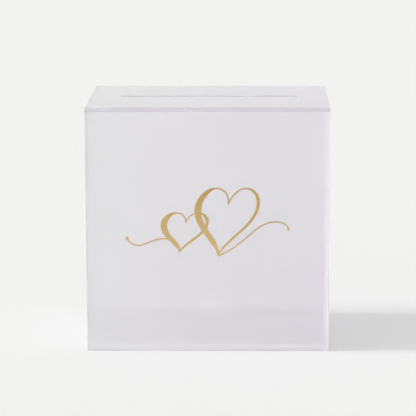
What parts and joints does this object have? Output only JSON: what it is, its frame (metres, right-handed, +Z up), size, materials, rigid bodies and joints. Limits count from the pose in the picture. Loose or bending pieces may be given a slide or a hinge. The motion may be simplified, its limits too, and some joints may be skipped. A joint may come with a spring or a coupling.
{
  "type": "card box",
  "caption": "Free-standing frosted acrylic box for posting greeting cards, with a slot along its top, a gold foil flourish on its front and a base panel that slides out at the back.",
  "frame": {"origin": "middle of the box's footprint, at the height of the surface that it stands on", "axes": "+Z up; the front panel faces -Y; +X is to the right as the front is seen; the base panel slides out along +Y"},
  "size_m": [0.254, 0.1781, 0.2585],
  "materials": {
    "frosted_acrylic": "satin",
    "gold_foil": "satin"
  },
  "bodies": {
    "box": {"front_panel": "frosted_acrylic", "back_panel": "frosted_acrylic", "left_panel": "frosted_acrylic", "right_panel": "frosted_acrylic", "top_panel": "frosted_acrylic", "left_runner": "frosted_acrylic", "right_runner": "frosted_acrylic", "left_guide": "frosted_acrylic", "right_guide": "frosted_acrylic", "foil_flourish": "gold_foil"},
    "base": {"base_panel": "frosted_acrylic"}
  },
  "joints": [
    {"name": "base_slide", "type": "slide", "parent": "box", "child": "base", "axis": [0, 1, 0], "range_m": [0, 0.178]}
  ]
}
